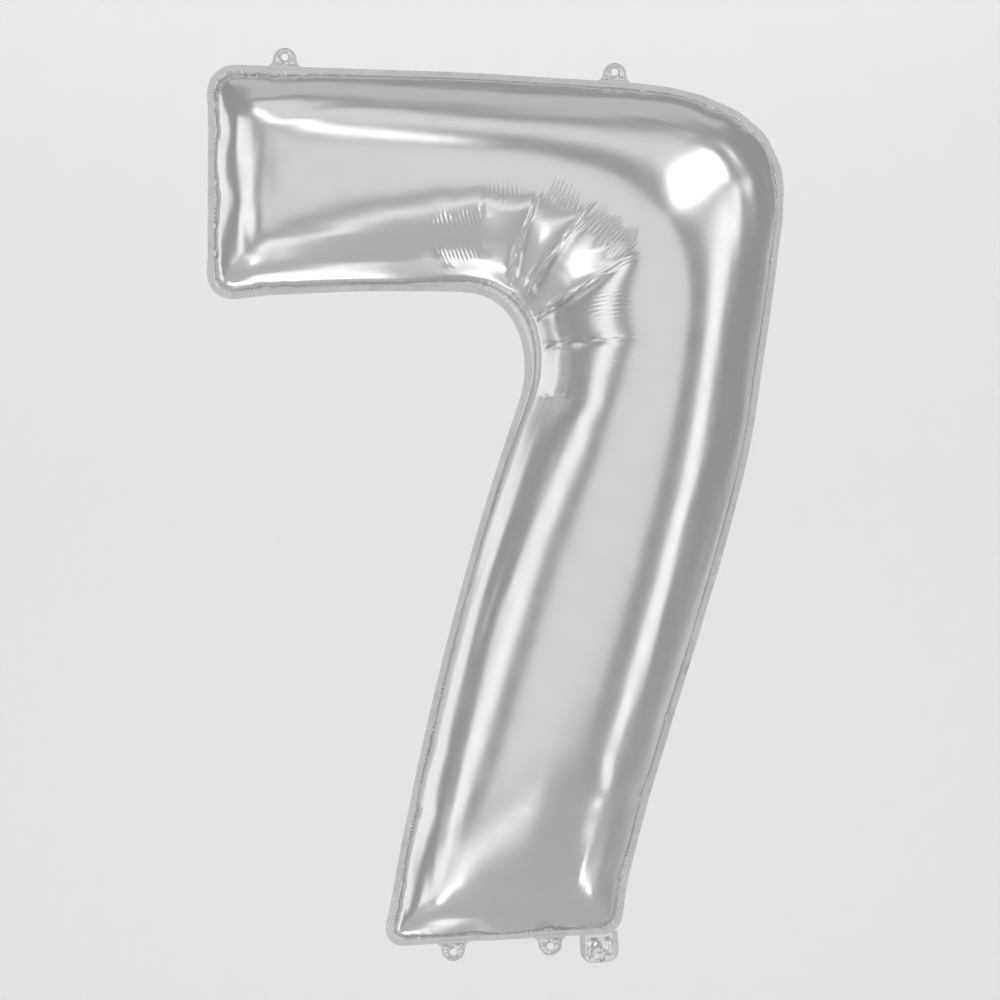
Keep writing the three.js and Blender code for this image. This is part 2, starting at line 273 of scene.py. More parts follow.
def split_edges(triangles, sheet, wanted):
    """Splits the wanted edges in the middle and every triangle to match. Gives triangles, sheets, split edges."""
    edges, number = np.unique(corner_edges(triangles), axis=0, return_inverse=True)
    chosen = wanted(edges)
    count = triangles.max() + 1
    middle = np.full(len(edges), -1)
    middle[chosen] = count + np.arange(chosen.sum())
    mids = middle[number.reshape(3, -1).T]
    pattern = (mids >= 0) @ np.array([1, 2, 4])
    pieces, sheets = [], []

    def keep(rows, *corners):
        pieces.append(np.stack(corners, 1))
        sheets.append(sheet[rows])

    for turn in range(3):
        order = np.roll(np.arange(3), -turn)
        one, two = pattern == [1, 2, 4][turn], pattern == [3, 6, 5][turn]
        a, b, c = triangles[one][:, order].T
        m = mids[one][:, turn]
        keep(one, a, m, c)
        keep(one, m, b, c)
        a, b, c = triangles[two][:, order].T
        m, n = mids[two][:, order[0]], mids[two][:, order[1]]
        keep(two, a, m, c)
        keep(two, m, n, c)
        keep(two, m, b, n)
    full = pattern == 7
    (a, b, c), (m, n, o) = triangles[full].T, mids[full].T
    for corners in ((a, m, o), (m, b, n), (o, n, c), (m, n, o)):
        keep(full, *corners)
    none = pattern == 0
    keep(none, *triangles[none].T)
    return np.vstack(pieces), np.concatenate(sheets), edges[chosen]


# ---- inflation


def opposite_corners(triangles):
    """For each edge inside a sheet, the two corners that face each other across it."""
    edges = corner_edges(triangles)
    facing = np.r_[triangles[:, 2], triangles[:, 0], triangles[:, 1]]
    key = edges[:, 0].astype(np.int64) * (triangles.max() + 1) + edges[:, 1]
    order = np.argsort(key, kind="stable")
    same = key[order][1:] == key[order][:-1]
    return np.stack([facing[order][:-1][same], facing[order][1:][same]], 1)


def neighbour_table(pairs, count):
    """Each point's partners as rows of a table, filled up with the point itself."""
    own, partner = np.r_[pairs[:, 0], pairs[:, 1]], np.r_[pairs[:, 1], pairs[:, 0]]
    pair = np.r_[np.arange(len(pairs)), np.arange(len(pairs))]
    order = np.argsort(own, kind="stable")
    sizes = np.bincount(own, minlength=count)
    column = np.arange(len(own)) - np.repeat(np.cumsum(sizes) - sizes, sizes)
    table = np.repeat(np.arange(count)[:, None], sizes.max(), 1).astype(np.int32)
    which = np.full(table.shape, -1)
    table[own[order], column] = partner[order]
    which[own[order], column] = pair[order]
    return table, which


def relax(flat, triangles, sheet, points, softness, steps, press, fold):
    """Lets gas pressure and the foil's stiffness move the points. The foil hardly stretches, but it buckles."""
    reach, damping = 0.18, 0.985  # how much of a strain one step takes up, and of its speed a point keeps
    stretch, radius = 0.006, 105.0  # the foil's strain under the gas, in a tube of this radius
    count = len(flat)
    edges = np.unique(corner_edges(triangles), axis=0)
    folds = np.vstack([opposite_corners(triangles[sheet == s]) for s in (FRONT, BACK, WELD)])
    pairs = np.vstack([edges, folds])
    rest = np.linalg.norm(flat[pairs[:, 0]] - flat[pairs[:, 1]], axis=1)
    spacing = np.median(rest[: len(edges)])
    soft = np.minimum(softness[pairs[:, 0]], softness[pairs[:, 1]])
    is_edge = np.arange(len(pairs)) < len(edges)
    pull = np.r_[is_edge.astype(float), 0]
    push = np.r_[soft * np.where(is_edge, press, fold), 0]
    table, which = neighbour_table(pairs, count)
    rest = np.r_[rest, 1][which].astype(np.float32)
    pull, push = pull[which].astype(np.float32), push[which].astype(np.float32)
    wall = triangles[sheet != WELD]
    gas = stretch * reach * 1.5 * spacing**2 / radius
    points = points.astype(np.float32)
    speed = np.zeros_like(points)
    for step in range(steps):
        if step % 5 == 0:
            a, b, c = (points[wall[:, k]] for k in range(3))
            area = np.repeat(np.cross(b - a, c - a) / 6, 3, axis=0)
            lift = [np.bincount(wall.ravel(), area[:, k], minlength=count) for k in range(3)]
            lift = (np.stack(lift, 1) * gas / (spacing**2 * math.sqrt(3) / 2)).astype(np.float32)
        before = points.copy()
        points += speed * damping + lift
        gap = points[table] - points[:, None]
        strain = 1 - rest / np.maximum(np.sqrt((gap * gap).sum(2)), 1e-6)
        strain *= np.where(strain > 0, pull, push)
        points += reach * (strain[:, :, None] * gap).sum(1)
        speed = points - before
    return points.astype(float)


def smooth_step(x):
    """Rises smoothly from 0 at 0 to 1 at 1."""
    x = np.clip(x, 0, 1)
    return x * x * (3 - 2 * x)


def inflated():
    """The balloon's foil after inflation: flat points, triangles, sheet numbers, points in space and the seam."""
    rng = np.random.default_rng(3)
    outline = pattern_outline(COARSE * 0.9)
    flat, triangles, sheet, seam = welded_pillow(outline, COARSE, rng)
    height = np.zeros(len(flat))
    height[triangles[sheet == FRONT]] = -2
    height[triangles[sheet == BACK]] = 2
    height[triangles[sheet == WELD]] = 0
    points = np.stack([flat[:, 0], height, flat[:, 1]], 1)
    solves = SOLVES
    for level, (steps, press, fold) in enumerate(solves):
        if level > 0:
            triangles, sheet, split = split_edges(triangles, sheet, lambda edges: np.ones(len(edges), bool))
            flat = np.vstack([flat, flat[split].mean(1)])
            points = np.vstack([points, points[split].mean(1)])
        points[:, 1] += rng.normal(0, 0.05, len(points))
        softness = 0.02 + 0.98 * smooth_step(nearest_on_ring(flat, seam)[0] / 28)
        points = relax(flat, triangles, sheet, points, softness, steps, press, fold)
    return flat, triangles, sheet, points, seam


def crease_profile(flat):
    """How deep the elbow's creases cut at each point of the pattern: valleys whose sides bulge up to a sharp line."""
    depth = np.zeros(len(flat))
    for start, end, deepest in CREASES:
        t, side = crease_place(flat, start, end)
        shape = smooth_step((t + 0.15) / 0.3) * (1 - smooth_step((t - 0.45) / 0.62))
        width = 4.5 + 3.5 * np.clip(t, 0, 1)
        away = np.sqrt(side**2 + CREASE_EDGE**2) - CREASE_EDGE
        depth += (deepest * shape * np.exp(-away / width)) ** 2.5
    return depth ** (1 / 2.5)


def crease_place(flat, start, end):
    """Share of the way along a crease, and millimetres to its side. The creases bow a little."""
    start, end = np.array(start, float), np.array(end, float)
    run = end - start
    length = np.linalg.norm(run)
    t = (flat - start) @ run / length**2
    side = (flat - start) @ np.array((-run[1], run[0])) / length
    return t, side - 3 * np.sin(t * 2.6)


def fitted(flat, values, sigma):
    """Values averaged over sigma by fitting a curved patch round each point, so that broad curves stay as they are."""
    order = np.argsort(flat[:, 1], kind="stable")
    height = flat[order, 1]
    result = np.empty_like(values)
    for rows in np.array_split(order, len(order) // 400 + 1):
        low, high = np.searchsorted(height, (flat[rows, 1].min() - 3 * sigma, flat[rows, 1].max() + 3 * sigma))
        near = order[low:high]
        weight = np.exp(-((flat[rows, None, :] - flat[None, near, :]) ** 2).sum(2) / (2 * sigma**2))
        centre = flat[rows].mean(0)

        def patch(place):
            x, z = ((place - centre) / 100).T
            return np.stack([np.ones(len(x)), x, z, x * x, x * z, z * z], 1)

        own, other = patch(flat[rows]), patch(flat[near])
        square = (other[:, :, None] * other[:, None, :]).reshape(len(near), -1)
        product = (other[:, :, None] * values[near][:, None, :]).reshape(len(near), -1)
        square, product = (weight @ square).reshape(-1, 6, 6), (weight @ product).reshape(-1, 6, values.shape[1])
        result[rows] = (own[:, :, None] * np.linalg.solve(square, product)).sum(1)
    return result


def smooth_walls(flat, triangles, sheet, points, seam):
    """Takes the solver's dents out of the walls, most of all at the elbow, whose creases are cut later."""
    off_seam = smooth_step((nearest_on_ring(flat, seam)[0] - 12) / 22)
    off_elbow = away_from(ELBOW, flat)
    elbow = 1 - smooth_step((off_elbow - 105) / 45)
    moved = points.copy()
    for s in (FRONT, BACK):
        mine = np.unique(triangles[sheet == s])
        for at, share, sigma in ((mine, 0.9 * off_seam, 10), (mine[off_elbow[mine] < 230], elbow * off_seam, 24)):
            moved[at] += share[at][:, None] * (fitted(flat[at], moved[at], sigma) - moved[at])
    return moved


# ---- seam, finer mesh and puckers


def vertex_normals(points, triangles):
    a, b, c = (points[triangles[:, k]] for k in range(3))
    face = np.repeat(np.cross(b - a, c - a), 3, axis=0)
    total = np.stack([np.bincount(triangles.ravel(), face[:, k], minlength=len(points)) for k in range(3)], 1)
    return total / np.maximum(np.linalg.norm(total, axis=1), 1e-12)[:, None]


def edge_keys(edges):
    """One whole number for each edge, for a quick search."""
    return edges[:, 0].astype(np.int64) * 10_000_000 + edges[:, 1]


def curved_middles(points, triangles, sheet, edges):
    """The middle of each edge, moved out onto the curve that the foil follows there."""
    middles = points[edges].mean(1)
    keys = edge_keys(edges)
    mine = [np.isin(keys, edge_keys(corner_edges(triangles[sheet == s]))) for s in (FRONT, BACK)]
    for own, other, s in ((mine[0], mine[1], FRONT), (mine[1], mine[0], BACK)):
        chosen = own & ~other
        normals = vertex_normals(points, triangles[sheet == s])
        for end in (0, 1):
            corner, normal = points[edges[chosen, end]], normals[edges[chosen, end]]
            drop = ((middles[chosen] - corner) * normal).sum(1)
            middles[chosen] -= 0.36 * drop[:, None] * normal
    return middles


def periodic(at, values, length, sigma, count=2048):
    """Values found here and there along a closed line, averaged over sigma, as even samples along it."""
    grid = np.arange(count) * length / count
    even = np.stack([np.interp(grid, at, column, period=length) for column in values.T], 1)
    gain = np.exp(-2 * (math.pi * np.fft.rfftfreq(count, length / count) * sigma) ** 2)
    return grid, np.fft.irfft(np.fft.rfft(even, axis=0) * gain[:, None], count, axis=0)


def along_ring(where, grid, samples, length):
    return np.stack([np.interp(where, grid, column, period=length) for column in samples.T], 1)


def spread_inwards(sources, moves, flat, distance, reach):
    """Each point's share of the moves at the nearest sources, fading to none at this distance from the seam."""
    result = np.zeros((len(flat), moves.shape[1]))
    near = np.flatnonzero(distance < reach)
    for rows in np.array_split(near, max(1, len(near) // 3000)):
        gap = ((flat[rows, None, :] - sources[None]) ** 2).sum(2)
        weight = 1 / (gap + 4.0) ** 2
        result[rows] = (weight @ moves) / weight.sum(1)[:, None]
    return result * (1 - smooth_step(distance / reach))[:, None]


def panel_edge(origins, directions):
    """How far along each ray the CAD front panel's silhouette ends, in the plane of the seam."""
    mesh = frame["nodes"]["front_panel"].data
    place = np.array([v.co for v in mesh.vertices])[:, [0, 2]] / MM
    edges = np.array([e.vertices[:] for e in mesh.edges])
    start, step = place[edges[:, 0]], place[edges[:, 1]] - place[edges[:, 0]]
    far = np.zeros(len(origins))
    for k, (origin, direction) in enumerate(zip(origins, directions)):
        across = direction[0] * step[:, 1] - direction[1] * step[:, 0]
        gap = start - origin
        with np.errstate(divide="ignore", invalid="ignore"):
            t = (gap[:, 0] * step[:, 1] - gap[:, 1] * step[:, 0]) / across
            u = (gap[:, 0] * direction[1] - gap[:, 1] * direction[0]) / across
        hit = (u >= 0) & (u <= 1) & (t > 0) & (t < 60)
        far[k] = t[hit].max() if hit.any() else np.nan
    known = np.isfinite(far)
    return np.interp(np.arange(len(far)), np.flatnonzero(known), far[known])


def settle_seam(flat, triangles, sheet, points, seam):
    """Takes the solver's coarse scallops out of the seam and brings the margin to the size of the frame."""
    distance, where = nearest_on_ring(flat, seam)
    length = np.linalg.norm(seam - np.roll(seam, -1, 0), axis=1).sum()
    on_seam = np.intersect1d(triangles[sheet == FRONT], triangles[sheet == BACK])
    on_seam = on_seam[np.argsort(where[on_seam])]
    grid, smooth = periodic(where[on_seam], points[on_seam], length, 11)
    normals = ring_normals(smooth[:, [0, 2]])
    back = 25  # the rays start this far inside
    origins = smooth[:, [0, 2]] - back * normals
    grow = panel_edge(origins[::2], normals[::2]) - back - MARGIN
    grow = periodic(grid[::2], grow[:, None], length, 7)[1]
    grow = np.stack([normals[:, 0] * grow[:, 0], 0 * grow[:, 0], normals[:, 1] * grow[:, 0]], 1)
    ring = along_ring(grid, np.r_[lengths_along(seam), length], np.vstack([seam, seam[:1]]), length)
    moved = points + spread_inwards(ring[::8], grow[::8], flat, distance, 90)
    ease = 0.95 * (along_ring(where[on_seam], grid, smooth, length) - points[on_seam])
    ease[:, 1] = -0.9 * points[on_seam, 1]
    return moved + spread_inwards(flat[on_seam], ease, flat, distance, 22)


def even_out(flat, triangles, sheet, points, seam):
    """Takes the solver's coarse beads out of the strip inside the seam, along the seam only, so that its profile
    stays. The real foil gathers there in much finer pleats, which come later."""
    distance, where = nearest_on_ring(flat, seam)
    length = np.linalg.norm(seam - np.roll(seam, -1, 0), axis=1).sum()
    on_seam = np.intersect1d(triangles[sheet == FRONT], triangles[sheet == BACK])
    on_seam = on_seam[np.argsort(where[on_seam])]
    grid, smooth = periodic(where[on_seam], points[on_seam], length, 6)
    outward = ring_normals(smooth[:, [0, 2]])
    base = along_ring(where, grid, smooth, length)
    side = along_ring(where, grid, outward, length)
    side /= np.linalg.norm(side, axis=1)[:, None]
    away = points - base
    local = np.stack([away[:, 0] * side[:, 0] + away[:, 2] * side[:, 1], away[:, 1]], 1)
    step, rows, columns = 4.0, 30, len(grid)
    share = 1 - smooth_step((distance - 60) / 45)
    moved = points.copy()
    turns = np.fft.rfftfreq(columns, length / columns)
    gains = [np.exp(-2 * (math.pi * turns * sigma) ** 2) for sigma in (18, 2.5)]
    for s in (FRONT, BACK):
        mine = np.setdiff1d(triangles[sheet == s], on_seam)
        mine = mine[distance[mine] < step * (rows - 2)]
        row = distance[mine] / step
        low = row.astype(int)
        column = (where[mine] / length * columns).astype(int) % columns
        table = np.zeros((rows, columns, 3))
        for part, weight in ((low, 1 - row + low), (low + 1, row - low)):
            values = np.column_stack([local[mine], np.ones(len(mine))]) * weight[:, None]
            np.add.at(table, (part, column), values)
        spectrum = np.fft.rfft(table, axis=1)
        wide, narrow = (np.fft.irfft(spectrum * g[None, :, None], columns, axis=1) for g in gains)
        wide, narrow = (t[:, :, :2] / np.maximum(t[:, :, 2:], 1e-3) for t in (wide, narrow))
        change = wide - narrow
        found = change[low, column] * (1 - row + low)[:, None] + change[low + 1, column] * (row - low)[:, None]
        found *= (share[mine] * smooth_step(distance[mine] / 1.5))[:, None]
        found = np.clip(found, -14, 14)
        moved[mine, 0] += found[:, 0] * side[mine, 0]
        moved[mine, 1] += found[:, 1]
        moved[mine, 2] += found[:, 0] * side[mine, 1]
    return moved


def noise_line(rng, where, length, shortest, longest, count=24):
    """Smooth noise between -1 and 1 that closes up along a ring."""
    turns = np.round(length / rng.uniform(shortest, longest, count))
    phases = rng.uniform(0, 2 * math.pi, count)
    waves = np.cos(2 * math.pi * where[:, None] / length * turns + phases)
    return waves.sum(1) / math.sqrt(count / 2) / 1.6


def pucker(flat, triangles, sheet, points, seam, neck, tabs):
    """Gathers the foil at the seam, cuts the creases of the elbow and crimps the margin. Gives one set of points
    for each sheet, because the two sheets part where the valve passes between them."""
    rng = np.random.default_rng(11)
    distance, where = nearest_on_ring(flat, seam)
    points = points.copy()
    points[:, 1] *= 0.10 + 0.90 * smooth_step((distance - SKIRT) / 17)
    length = np.linalg.norm(seam - np.roll(seam, -1, 0), axis=1).sum()
    on_margin = np.setdiff1d(triangles[sheet == WELD], triangles[sheet == FRONT])
    on_seam = np.intersect1d(triangles[sheet == FRONT], triangles[sheet == BACK])
    on_seam = on_seam[np.argsort(where[on_seam])]
    grid, smooth = periodic(where[on_seam], points[on_seam], length, 4)
    outward = ring_normals(smooth[:, [0, 2]])
    height = 0.06 + 0.16 * np.maximum(noise_line(rng, where, length, 60, 260), 0)
    for centre, half, extra in GATHERS:
        away = away_from(centre, flat)
        height += extra * (1 - smooth_step((away - 0.6 * half) / (0.7 * half)))
    jitter = noise_line(rng, where, length, 25, 120)
    reach = 15 + 5 * noise_line(rng, where, length, 20, 90)
    result = []
    for s in (FRONT, BACK):
        normals = vertex_normals(points, triangles[sheet == s])
        phase = 2 * math.pi * where / PITCH + 2.4 * jitter + rng.uniform(0, 6)
        phase += 0.05 * distance * (1 + jitter)
        wave = np.cos(phase) + 0.25 * np.cos(2 * phase + 1)
        band = smooth_step(distance / 2.5) * (1 - smooth_step((distance - 0.45 * reach) / (0.75 * reach)))
        long_wave = np.cos(2 * math.pi * where / 19 + 3 * jitter + s)
        rise = height * wave * band
        rise += 0.25 * height * long_wave * smooth_step(distance / 5) * (1 - smooth_step((distance - 8) / 22))
        place = flat if s == FRONT else turned(flat, ELBOW_CENTRE, 0.12)
        rise -= crease_profile(place) * smooth_step(distance / 14)
        rise += fold_lines(place) * smooth_step(distance / 14)
        rise += fine_pleats(rng, place)
        rise += long_waves(rng, distance, where, length)
        result.append(points + rise[:, None] * normals)
    out = distance[on_margin] / MARGIN
    base = along_ring(where[on_margin], grid, smooth, length)
    side = along_ring(where[on_margin], grid, outward, length)
    side /= np.linalg.norm(side, axis=1)[:, None]
    crimp = 0.45 * noise_line(rng, where, length, 9, 30)[on_margin]
    ripple = np.cos(2 * math.pi * where[on_margin] / PITCH + 2.4 * jitter[on_margin])
    crimp += (0.12 + 0.3 * height[on_margin]) * ripple
    crimp += 0.5 * noise_line(rng, where, length, 40, 160)[on_margin]
    still = np.ones(len(on_margin))
    for centre, half in tabs + [neck]:
        away = away_from(centre, base[:, [0, 2]])
        still *= smooth_step((away - half) / 12)
    for k in (0, 1):
        part = result[k]
        part[on_margin] = base
        part[on_margin, 0] += side[:, 0] * MARGIN * out
        part[on_margin, 1] += out * crimp * still
        part[on_margin, 2] += side[:, 1] * MARGIN * out
    away = away_from(neck[0], result[0][:, [0, 2]])
    parted = 0.12 + 0.66 * (1 - smooth_step((away - neck[1]) / 9))
    gape = parted * (1 - smooth_step((distance - 3) / 8))
    gape[on_margin] = parted[on_margin]
    result[0][:, 1] -= gape
    result[1][:, 1] += gape
    return result, gape


def turned(flat, centre, angle):
    """Places turned about a centre by an angle in radians."""
    away = flat - centre
    cos, sin = math.cos(angle), math.sin(angle)
    return centre + np.stack([cos * away[:, 0] - sin * away[:, 1], sin * away[:, 0] + cos * away[:, 1]], 1)


def long_waves(rng, distance, where, length):
    """Very shallow waves that run along the tubes and round the bend, from the way the foil is stretched."""
    rise = np.zeros(len(distance))
    for wave, height in ((34, 0.22), (23, 0.14), (15, 0.08), (10, 0.04)):
        drift = 2.2 * noise_line(rng, where, length, 180, 700)
        strength = 0.6 + 0.5 * noise_line(rng, where, length, 150, 600)
        rise += height * strength * np.cos(2 * math.pi * distance / wave + drift + rng.uniform(0, 6))
    return rise * smooth_step((distance - 6) / 14) * (1 - smooth_step((distance - 72) / 30))


def fold_lines(flat):
    """The thin doubled line along the bottom of each deep crease."""
    rise = np.zeros(len(flat))
    for start, end, deepest in CREASES:
        t, side = crease_place(flat, start, end)
        side = side - 0.6 * np.sin(t * 23)
        shape = smooth_step((t + 0.1) / 0.1) * (1 - smooth_step((t - 0.75) / 0.35))
        rise += 0.30 * deepest * shape * np.exp(-((side / 1.8) ** 2))
    return rise


def fine_pleats(rng, flat):
    """Patches of fine parallel pleats, which take up the foil that is left over between the creases."""
    rise = np.zeros(len(flat))
    for centre, degrees, half_length, half_width, height in PLEATS:
        turn = math.radians(degrees)
        away = flat - centre
        along = away @ np.array((math.cos(turn), math.sin(turn)))
        across = away @ np.array((-math.sin(turn), math.cos(turn)))
        step = rng.uniform(3.6, 4.4)
        bend = 0.5 * np.sin(across / 7 + rng.uniform(0, 6))
        ragged = half_length * (1 + 0.35 * np.sin(across / 3.1 + rng.uniform(0, 6)))
        patch = 1 - smooth_step((np.abs(along + 3 * bend) - 0.5 * ragged) / (0.6 * ragged))
        patch *= 1 - smooth_step((np.abs(across) - 0.6 * half_width) / (0.5 * half_width))
        wave = np.cos(2 * math.pi * across / step + 1.2 * bend)
        rise += height * patch * np.where(wave > 0, wave, 0.6 * wave)
    return rise


# ---- materials


def material(name, colour, metallic, roughness, wander, waves=None, dimples=None, patchy=0.07):
    """A foil, a film or paper: colour and roughness wander a little. waves is the scale of the waves in it and their
    height in metres, and dimples is the height of the pattern that a heat sealer presses in."""
    made = bpy.data.materials.new(name)
    made.use_nodes = True
    tree = made.node_tree
    link = tree.links.new

    def fill(node, values):
        for socket, value in values.items():
            node.inputs[socket].default_value = value
        return node

    def add(kind, **values):
        node = tree.nodes.new("ShaderNode" + kind)
        return fill(node, {socket.replace("_", " "): value for socket, value in values.items()})

    shader = fill(
        tree.nodes["Principled BSDF"], {"Metallic": metallic, "Base Color": (*colour, 1), "Roughness": roughness}
    )
    place = add("TexCoord").outputs["Object"]

    def noise(scale, detail):
        texture = add("TexNoise", Scale=scale, Detail=detail)
        link(place, texture.inputs["Vector"])
        return texture.outputs["Fac"]

    def spread(source, low, high):
        ramp = add("MapRange", From_Min=0.2, From_Max=0.8, To_Min=low, To_Max=high)
        link(source, ramp.inputs["Value"])
        return ramp.outputs["Result"]

    # the colour and the roughness drift between two values
    tint = add("Mix")
    tint.data_type = "RGBA"
    link(spread(noise(22, 4), 0, 1), tint.inputs["Factor"])
    tint.inputs["A"].default_value = (*colour, 1)
    tint.inputs["B"].default_value = (*(c * (1 - patchy) for c in colour), 1)
    link(tint.outputs["Result"], shader.inputs["Base Color"])
    link(spread(noise(45, 2), roughness - wander, roughness + wander), shader.inputs["Roughness"])

    def raised(height, distance, under):
        bump = add("Bump", Distance=distance)
        link(height, bump.inputs["Height"])
        if under:
            link(under, bump.inputs["Normal"])
        return bump.outputs["Normal"]

    normal = raised(noise(waves[0], 3), waves[1], None) if waves else None
    if dimples:
        cells = add("TexVoronoi", Scale=900, Randomness=0.25)
        link(place, cells.inputs["Vector"])
        normal = raised(cells.outputs["Distance"], dimples, normal)
    link(normal, shader.inputs["Normal"])
    return made


FOIL = material("foil", (0.80, 0.805, 0.81), 1, 0.23, 0.035, waves=(24, 0.00012), patchy=0.04)
PRESSED = material("pressed_foil", (0.69, 0.695, 0.71), 1, 0.30, 0.07, waves=(120, 0.0005), dimples=0.00015)
FILM = material("film", (0.72, 0.75, 0.77), 0, 0.28, 0.05, waves=(150, 0.0002))
FILM.node_tree.nodes["Principled BSDF"].inputs["Transmission Weight"].default_value = 0.55
FILM_WELD = material("film_weld", (0.62, 0.65, 0.67), 0, 0.42, 0.06, dimples=0.00012)


# ---- pieces


def piece(name, points, parts):
    """A mesh object from points in millimetres; parts lists (triangles, material)."""
    triangles = np.vstack([part for part, _ in parts])
    used, number = np.unique(triangles, return_inverse=True)
    mesh = bpy.data.meshes.new(name)
    mesh.from_pydata((points[used] * MM).tolist(), [], number.reshape(-1, 3).tolist())
    for _, paint in parts:
        mesh.materials.append(paint)
    mesh.polygons.foreach_set("material_index", np.repeat(np.arange(len(parts)), [len(p) for p, _ in parts]))
    mesh.polygons.foreach_set("use_smooth", np.ones(len(triangles), bool))
    mesh.update()
    made = bpy.data.objects.new(name, mesh)
    bpy.context.scene.collection.objects.link(made)
    return made


def fold_line(name):
    """Where a fold's joint is, and the direction of its axis."""
    joint = next(j for j in frame["joints"] if j["name"] == name)
    pos = np.array(joint["pos_m"])[[0, 2]] / MM
    axis = np.array(joint["axis"])[[0, 2]]
    return pos, axis / np.linalg.norm(axis)


class Root:
    """The root of a tab or of the neck: where it is, along its fold line and out from the balloon's edge."""

    def __init__(self, joint, node, body):
        self.body = body
        self.at, self.along = fold_line(joint)
        self.out = np.array((-self.along[1], self.along[0]))
        mesh = frame["nodes"][node].data
        place = np.array([v.co for v in mesh.vertices])[:, [0, 2]] / MM - self.at
        self.low, self.high = (place @ self.out).min(), (place @ self.out).max()
        self.half = np.abs(place @ self.along).max()

    def in_frame(self, flat, y):
        place = self.at + np.outer(flat[:, 0], self.along) + np.outer(flat[:, 1], self.out)
        return np.stack([place[:, 0], y, place[:, 1]], 1)

    def in_metres(self, v):
        place = (self.at + v * self.out) * MM
        return (place[0], 0.0, place[1])


def cut_sheet(outline, holes, spacing, rng):
    """An even mesh of a flat shape with holes: its points, its triangles, and the rings of edge points."""
    rings = [outline] + holes
    low, high = outline.min(0), outline.max(0)
    rows = np.arange(low[1], high[1], spacing * 0.866)
    grid = np.array([
        (x + (k % 2) * spacing / 2, z) for k, z in enumerate(rows) for x in np.arange(low[0], high[0], spacing)
    ])
    grid += rng.uniform(-0.1, 0.1, grid.shape) * spacing
    grid = grid[inside(grid, outline)]
    for hole in holes:
        grid = grid[~inside(grid, hole)]
    for ring in rings:
        grid = grid[nearest_on_ring(grid, ring)[0] > 0.55 * spacing]
    points = np.vstack(rings + [grid])
    starts = np.r_[0, np.cumsum([len(ring) for ring in rings])]
    loops = [np.arange(starts[k], starts[k + 1]) for k in range(len(rings))]
    edges = [(int(a), int(b)) for loop in loops for a, b in zip(loop, np.roll(loop, -1))]
    made = delaunay_2d_cdt([Vector(p) for p in points.tolist()], edges, [], 0, 1e-7)
    first = np.array([sources[0] for sources in made[3]])
    triangles = first[np.array(made[2])]
    middle = points[triangles].mean(1)
    kept = inside(middle, outline)
    for hole in holes:
        kept &= ~inside(middle, hole)
    return points, facing_front(points, triangles[kept]), loops


def crumple(rng, place, shortest, longest, count=14):
    """Creased noise over a flat shape, roughly between -1 and 1, with ridges where the foil folds sharply."""
    total = np.zeros(len(place))
    for _ in range(count):
        turn, wave = rng.uniform(0, math.pi), rng.uniform(shortest, longest)
        t = place @ np.array((math.cos(turn), math.sin(turn))) * 2 * math.pi / wave + rng.uniform(0, 6)
        total += (1 - 2 * np.abs(np.sin(t / 2 + 0.4 * np.sin(t * 0.37)))) * rng.uniform(0.4, 1)
    return total / math.sqrt(count)


def thin_body(name, node, root, cut, front, back, pressed, bend_end):
    """A thin closed body between two heights over a cut sheet. It stays unbent; bend_end has no effect."""
    flat, triangles, loops = cut
    n = len(flat)
    sides = [triangles[:, ::-1], triangles + n]
    rims = []
    for loop in loops:
        a, b = loop, np.roll(loop, -1)
        rims += [np.stack([a, a + n, b], 1), np.stack([b, a + n, b + n], 1)]
    pressed = pressed[triangles].all(1)
    parts = [
        (np.vstack([side[~pressed] for side in sides]), FOIL),
        (np.vstack([side[pressed] for side in sides] + rims), PRESSED),
    ]
    points = np.vstack([root.in_frame(flat, front), root.in_frame(flat, back)])
    made = piece(name, points, [part for part in parts if len(part[0])])
    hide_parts(node)
    root.in_metres(-0.3)
    root.in_metres(bend_end)
    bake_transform(made)
    return made


def tab_outline(root, tuck):
    """A round-headed tab that flares into the balloon's edge, in its own plane."""
    head, flare_half = 11.0, 14.5
    top = root.high - head
    turn = np.linspace(0, math.pi, 30)
    dome = np.stack([head * np.cos(turn), top + head * np.sin(turn)], 1)
    down = np.linspace(0, 1, 9)[1:, None]
    flare = (1 - down) ** 2 * dome[-1] + 2 * down * (1 - down) * (-head - 0.2, 1.5) + down**2 * (-flare_half, 0)
    left = np.vstack([flare, (-flare_half, -tuck)])
    right = left[::-1] * (-1, 1)
    base = np.stack([np.linspace(-flare_half, flare_half, 28)[1:-1], np.full(26, -tuck)], 1)
    return np.vstack([dome, left, base, right])


